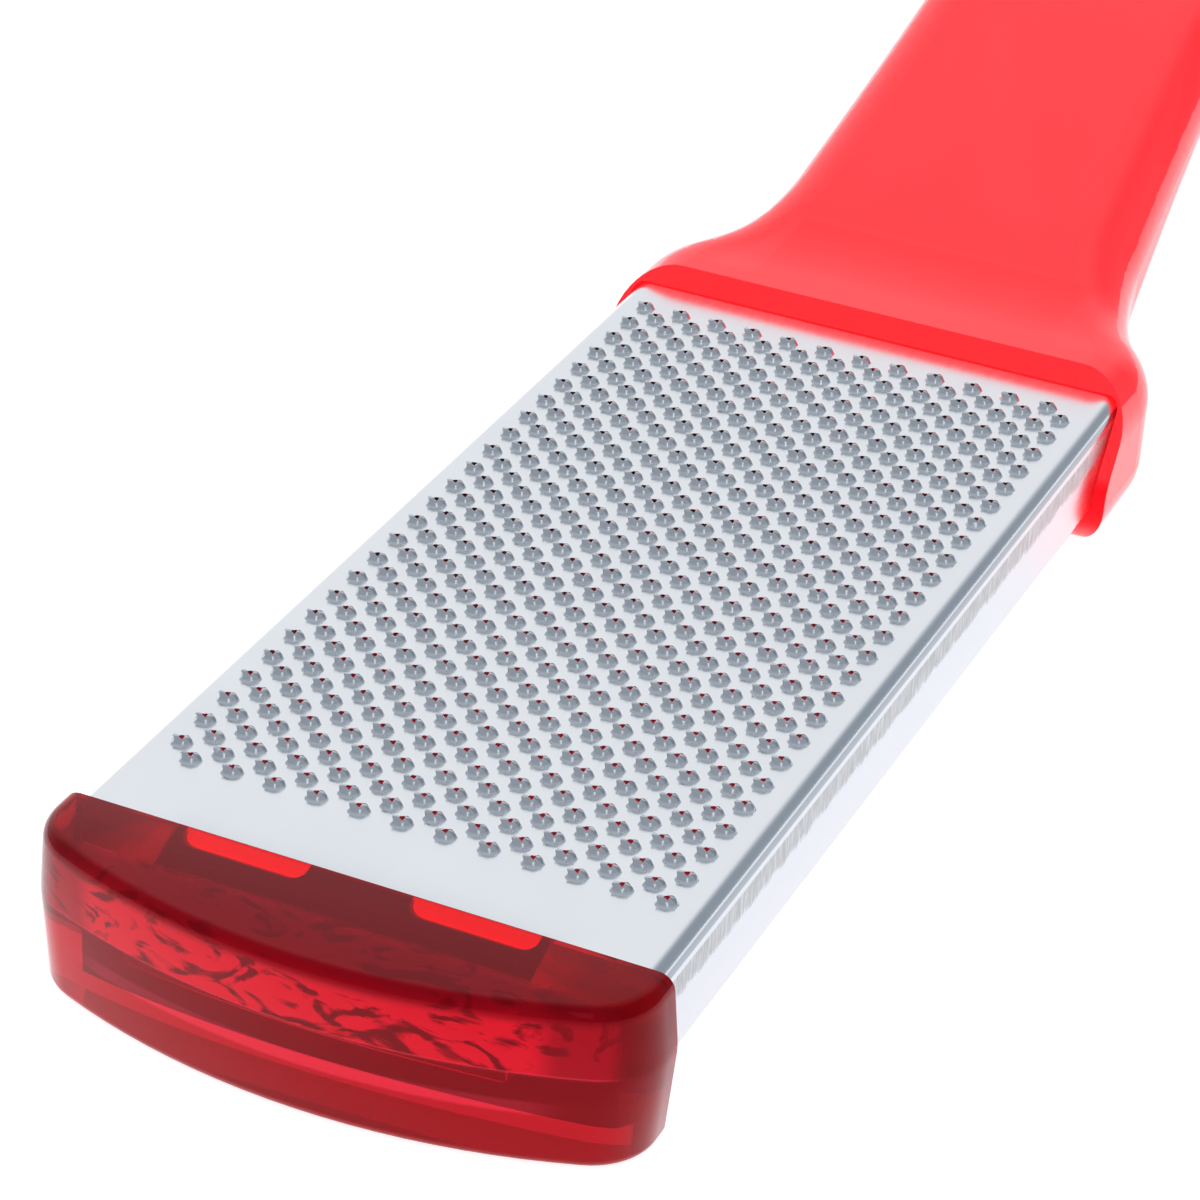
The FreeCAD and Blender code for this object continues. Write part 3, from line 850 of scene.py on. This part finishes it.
# Random patches, then painted shade on the walls, the bends, the teeth and the tongue, and real scuffs on the
# walls.
shade = steel.cover(
    steel.mix(steel.noise(PATCH_WAVES, detail=2.0), STEEL_DULL, STEEL_BRIGHT),
    (steel.fade(depth, *WALL_SHADE_FADE), WALL_PAINTED_SHADE),
    (steel.times(steel.fade(depth, *BEND_SHADE_FADE), steel.fade(depth, *BEND_SHADE_END_FADE)), BEND_PAINTED_SHADE),
    (steel.fade(depth, *TOOTH_SHADE_FADE), TOOTH_PAINTED_SHADE),
    (scuff, STEEL_SCUFF),
    (steel.fade(along["Y"], *TONGUE_SHADE_FADE), TONGUE_PAINTED_SHADE),
)
grain = steel.noise(1.0, detail=3.0, stretch=GRAIN_WAVES)
rough = steel.math("MULTIPLY_ADD", grain, GRAIN_ROUGHNESS, STEEL_ROUGHNESS)
rough = steel.math("MULTIPLY_ADD", scuff, SCUFF_ROUGHNESS, rough)
glow = steel.times(
    steel.fade(depth, *HOLE_FADE),
    steel.fade(steel.distance(along["X"], 0.0), *FIELD_X_FADE),
    steel.fade(along["Y"], *FIELD_Y_FADE),
    steel.fade(steel.math("SUBTRACT", along["X"], along["Y"]), *GLOW_FADE, *GLOW_STRENGTHS),
)
steel.set(metallic=1.0, base_color=shade, roughness=rough, emission_color=HOLE_RED, emission_strength=glow)
steel.bump(grain, strength=0.08, distance=0.02 * MM)
wear(rasp, steel)

# %% [markdown]
# ### Clear red plastic of the handle
# The handle, the cap and the core are tinted clear mouldings. Pure glass would turn black wherever light is
# trapped inside, and real mouldings are a little cloudy. So part of the surface scatters red light, the rest
# is see-through, and a weak red glow stands for the light that is scattered inside. The rim of the collar,
# where one looks along the wall, is painted a deeper red as shade, and its gloss is tinted red.

# %% Clear red plastic of the handle
PLASTIC_IOR = 1.49
HANDLE_DEEP = (1.0, 0.035, 0.045, 1)
HANDLE_PALE = (1.0, 0.065, 0.075, 1)
HANDLE_GLOSS = (1.0, 0.75, 0.78, 1)
HANDLE_GLOW = (1.0, 0.02, 0.03, 1)
# Painted shade: the rim of the collar is a deeper red.
RIM_PAINTED_SHADE = (0.95, 0.004, 0.01, 1)
RIM_GLOSS = (1.0, 0.05, 0.08, 1)
FLOW_WAVES = 60
FLOW_STRETCH = (1, 0.3, 1)
DIMPLE_WAVES = 300
collar_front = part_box("handle")[0].y
BEHIND_RIM_FADE = (collar_front + 0.2 * MM, collar_front + 0.8 * MM)

handle_red = Finish("clear_red_plastic")
flow = handle_red.noise(FLOW_WAVES, detail=2.0, stretch=FLOW_STRETCH, distortion=1.5)
# Behind the rim the plastic has its own flowing red; the rim itself is painted deeper red as shade.
behind_rim = handle_red.fade(handle_red.axes()["Y"], *BEHIND_RIM_FADE)
handle_red.set(
    roughness=0.04,
    ior=PLASTIC_IOR,
    transmission_weight=0.4,
    base_color=handle_red.mix(behind_rim, RIM_PAINTED_SHADE, handle_red.mix(flow, HANDLE_DEEP, HANDLE_PALE)),
    specular_tint=handle_red.mix(behind_rim, RIM_GLOSS, HANDLE_GLOSS),
    emission_color=HANDLE_GLOW,
    emission_strength=0.3,
)
handle_red.bump(handle_red.noise(DIMPLE_WAVES, detail=2.0), strength=0.05, distance=0.05 * MM)
wear(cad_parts["handle"], handle_red)

# %% [markdown]
# ### Clear red plastic of the cap
# The cap is darker, and one sees into it from above. Above the crease its front is cloudy, with dark swirls
# where the melt has flowed. Its crown and its sides are painted dark as shade, where one looks through the
# most plastic. A pale streak along the front below the crease is a painted highlight, and so is a fine pale
# line along the crease itself.

# %% Colours and places on the cap
CAP_CLEAR = (0.5, 0.004, 0.012, 1)
CAP_CLOUDY = (0.82, 0.006, 0.021, 1)
CAP_SWIRL = (0.14, 0.001, 0.003, 1)
# Painted shade on the sides of the cap above the crease.
SIDE_PAINTED_SHADE = (0.22, 0.002, 0.006, 1)
CAP_LOWER = (0.45, 0.006, 0.014, 1)
# Painted highlight: the pale streak below the crease.
STREAK_PAINTED_HIGHLIGHT = (1.0, 0.07, 0.14, 1)
# Painted shade along the crown of the front.
CROWN_PAINTED_SHADE = (0.18, 0.002, 0.005, 1)
# Painted highlight: the fine pale line along the crease.
CREASE_PAINTED_HIGHLIGHT = (1.0, 0.06, 0.1, 1)
CAP_GLOSS = (1.0, 0.06, 0.1, 1)
CAP_GLOW = (1.0, 0.005, 0.02, 1)
CLEAR_TRANSMISSION = 0.85
CLOUDY_TRANSMISSION = 0.12
CAP_FRONT_FADE = (FRONT - 4.0 * MM, FRONT - 5.5 * MM)
UPPER_FADE = (CREASE - 0.1 * MM, CREASE + 0.1 * MM)
CROWN_SHADE_FADE = (CROWN - 1.5 * MM, CROWN - 0.6 * MM)
CROWN_SHADE_SHARE = 0.8
SIDE_FADE = (14.5 * MM, 16.5 * MM)
SIDE_SHADE_SHARE = 0.7
STREAK_LEVEL = 4.4 * MM
STREAK_FADE = (0.6 * MM, 0.3 * MM)
STREAK_END_FADE = (17.0 * MM, 14.0 * MM)
STREAK_HIGHLIGHT_SHARE = 0.85
CREASE_HIGHLIGHT_FADE = (0.16 * MM, 0.04 * MM)
CREASE_HIGHLIGHT_SHARE = 0.4
SWIRL_WAVES = 300
SWIRL_STRETCH = (0.6, 1, 1.3)
SWIRL_TURN = (0, math.radians(25), 0)
SWIRL_FADE = (0.5, 0.62)

# %% Clear red plastic of the cap
cap_red = Finish("clear_red_cap")
places = cap_red.axes()
across = cap_red.distance(places["X"], 0.0)
at_front = cap_red.fade(places["Y"], *CAP_FRONT_FADE)
upper = cap_red.fade(places["Z"], *UPPER_FADE)
cloudy = cap_red.times(at_front, upper)
swirls = cap_red.noise(SWIRL_WAVES, detail=5.0, stretch=SWIRL_STRETCH, turn=SWIRL_TURN, distortion=2.2)
streak_highlight = cap_red.fade(cap_red.distance(places["Z"], STREAK_LEVEL), *STREAK_FADE, high=STREAK_HIGHLIGHT_SHARE)
crown_shade = cap_red.fade(places["Z"], *CROWN_SHADE_FADE, high=CROWN_SHADE_SHARE)
crease = cap_red.fade(cap_red.distance(places["Z"], CREASE), *CREASE_HIGHLIGHT_FADE, high=CREASE_HIGHLIGHT_SHARE)
tint = cap_red.cover(
    CAP_CLEAR,
    (cloudy, CAP_CLOUDY),
    (cap_red.times(cloudy, cap_red.fade(swirls, *SWIRL_FADE)), CAP_SWIRL),
    # painted shade on the sides
    (cap_red.times(upper, cap_red.fade(across, *SIDE_FADE, high=SIDE_SHADE_SHARE)), SIDE_PAINTED_SHADE),
    (cap_red.math("SUBTRACT", 1.0, upper), CAP_LOWER),
    # painted highlight below the crease
    (cap_red.times(streak_highlight, at_front, cap_red.fade(across, *STREAK_END_FADE)), STREAK_PAINTED_HIGHLIGHT),
    # painted shade along the crown
    (cap_red.times(crown_shade, at_front), CROWN_PAINTED_SHADE),
    # painted highlight along the crease
    (cap_red.times(crease, at_front), CREASE_PAINTED_HIGHLIGHT),
)
cap_red.set(
    roughness=0.03,
    ior=PLASTIC_IOR,
    transmission_weight=cap_red.fade(cloudy, 0.0, 1.0, CLEAR_TRANSMISSION, CLOUDY_TRANSMISSION),
    base_color=tint,
    specular_tint=CAP_GLOSS,
    emission_color=CAP_GLOW,
    emission_strength=0.04,
)
wear(cap, cap_red)

# %% [markdown]
# ### Deep red plastic of the core
# Most of the core is out of sight inside the plate. Light that comes through the cap makes its tenon shine
# bright red in the tongue's two windows, so the top of the tenon glows there.

# %% Deep red plastic of the core
CORE_DEEP = (0.7, 0.012, 0.018, 1)
CORE_PALE = (0.85, 0.02, 0.028, 1)
WINDOW_RED = (1.0, 0.06, 0.07, 1)
CLOUD_WAVES = 90
WINDOW_BACK_FADE = (FRONT + 0.3 * MM, FRONT)
WINDOW_FRONT_FADE = (FRONT - 2.2 * MM, FRONT - 1.4 * MM)
WINDOW_SIDE_FADE = (TONGUE_X + 0.1 * MM, TONGUE_X - 0.1 * MM)
WINDOW_LEVEL_FADE = (8.0 * MM, 8.6 * MM)
WINDOW_STRENGTHS = (0.05, 1.8)

core_red = Finish("deep_red_plastic")
core_places = core_red.axes()
window_glow = core_red.times(
    core_red.fade(core_places["Y"], *WINDOW_BACK_FADE),
    core_red.fade(core_places["Y"], *WINDOW_FRONT_FADE),
    core_red.fade(core_places["Z"], *WINDOW_LEVEL_FADE),
    core_red.fade(core_red.distance(core_places["X"], 0.0), *WINDOW_SIDE_FADE, *WINDOW_STRENGTHS),
)
core_red.set(
    roughness=0.1,
    ior=PLASTIC_IOR,
    transmission_weight=0.6,
    base_color=core_red.mix(core_red.noise(CLOUD_WAVES, distortion=1.0), CORE_DEEP, CORE_PALE),
    emission_color=WINDOW_RED,
    emission_strength=window_glow,
)
wear(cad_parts["core"], core_red)

# %% [markdown]
# ### Foam and emery
# The foam is a mass of fine closed cells, which show as tiny pits. The emery is dark grit in a resin: each
# grain catches the light its own way, so the colour and the bump both come from small cells.

# %% Foam and emery finishes
FOAM_SHADE = (0.8, 0.79, 0.76, 1)
FOAM_WHITE = (0.93, 0.925, 0.9, 1)
FOAM_CELLS = 3500.0
GRIT_BLACK = (0.03, 0.03, 0.033, 1)
GRIT_GREY = (0.2, 0.2, 0.21, 1)
GRIT_CELLS = 5200.0
GRIT_ROUGHNESS = (0.9, 0.45)

white_foam = Finish("white_foam")
pits = white_foam.cells(FOAM_CELLS)["Distance"]
white_foam.set(roughness=0.85, base_color=white_foam.mix(pits, FOAM_SHADE, FOAM_WHITE))
white_foam.bump(pits, strength=0.4, distance=0.08 * MM)
wear(foam, white_foam)

grit = Finish("emery_grit")
grains = grit.cells(GRIT_CELLS)
grain_shade = grit.node("ShaderNodeSeparateColor", {"Color": grains["Color"]}).outputs["Red"]
grit.set(
    base_color=grit.mix(grain_shade, GRIT_BLACK, GRIT_GREY),
    roughness=grit.fade(grain_shade, 0.0, 1.0, *GRIT_ROUGHNESS),
)
grit.bump(grains["Distance"], strength=0.8, distance=0.1 * MM)
wear(emery, grit)

# %% [markdown]
# ## Floor, light and camera
# The tool lies on white paper that is lit from all round, so it hardly throws a shadow. A bright wall stands
# behind it on the left, which the top of the steel mirrors, and the room is dim on the right. A tall narrow
# softbox above the camera draws the bright streak on each tooth.

# %% Floor
FLOOR_SIZE = 4
FLOOR_LEVEL = -0.2 * MM
start_clean()
bpy.ops.mesh.primitive_plane_add(size=FLOOR_SIZE, location=(0, 0, FLOOR_LEVEL))
floor = bpy.context.object
floor.name = "floor"
paper = Finish("white_paper")
paper.set(
    base_color=(0.9, 0.9, 0.9, 1), roughness=0.9, emission_color=(1, 1, 1, 1), emission_strength=0.85
)
wear(floor, paper)

# %% World
ROOM_NEAR = (0.4, 0.44, 0.49, 1)
ROOM_BEHIND = (0.86, 0.88, 0.91, 1)
ROOM_RIGHT = (0.27, 0.31, 0.36, 1)
BEHIND_FADE = (0.1, 0.5)
RIGHT_FADE = (0.05, 0.4)
world = bpy.data.worlds.new("studio")
bpy.context.scene.world = world
world.use_nodes = True
room = Finish("studio", world.node_tree)
direction = room.node("ShaderNodeTexCoord").outputs["Generated"]
ways = room.node("ShaderNodeSeparateXYZ", {"Vector": direction}).outputs
behind = room.fade(ways["Y"], *BEHIND_FADE)
right = room.fade(ways["X"], *RIGHT_FADE)
walls = room.cover(ROOM_NEAR, (behind, ROOM_BEHIND), (room.times(behind, right), ROOM_RIGHT))
room.feed(room.nodes["Background"].inputs["Color"], walls)
print("room:", len(room.nodes), "nodes")

# %% Softbox and camera
STRIP_PLACE = (0.46, -0.88, 0.95)
STRIP_SIZE = (0.2, 0.9)
STRIP_WATTS = 0.6
CAMERA_PLACE = (0.09394, -0.22973, 0.15382)
CAMERA_TURN = (59.718, -2.886, 24.766)
SENSOR = 36
LENS = 124.32
CLIP_START = 10 * MM

lamp = bpy.data.lights.new("strip", "AREA")
lamp.shape = "RECTANGLE"
lamp.size, lamp.size_y = STRIP_SIZE
lamp.energy = STRIP_WATTS
strip = bpy.data.objects.new("strip", lamp)
bpy.context.scene.collection.objects.link(strip)
strip.location = STRIP_PLACE
strip.rotation_euler = (-strip.location).to_track_quat("-Z", "Y").to_euler()

camera = bpy.data.objects.new("camera", bpy.data.cameras.new("camera"))
bpy.context.scene.collection.objects.link(camera)
camera.location = CAMERA_PLACE
camera.rotation_euler = [math.radians(turn) for turn in CAMERA_TURN]
camera.data.sensor_width = SENSOR
camera.data.lens = LENS
camera.data.clip_start = CLIP_START
bpy.context.scene.camera = camera
bpy.context.scene.view_settings.view_transform = "Standard"
print("lamp at", STRIP_PLACE, "camera at", CAMERA_PLACE)
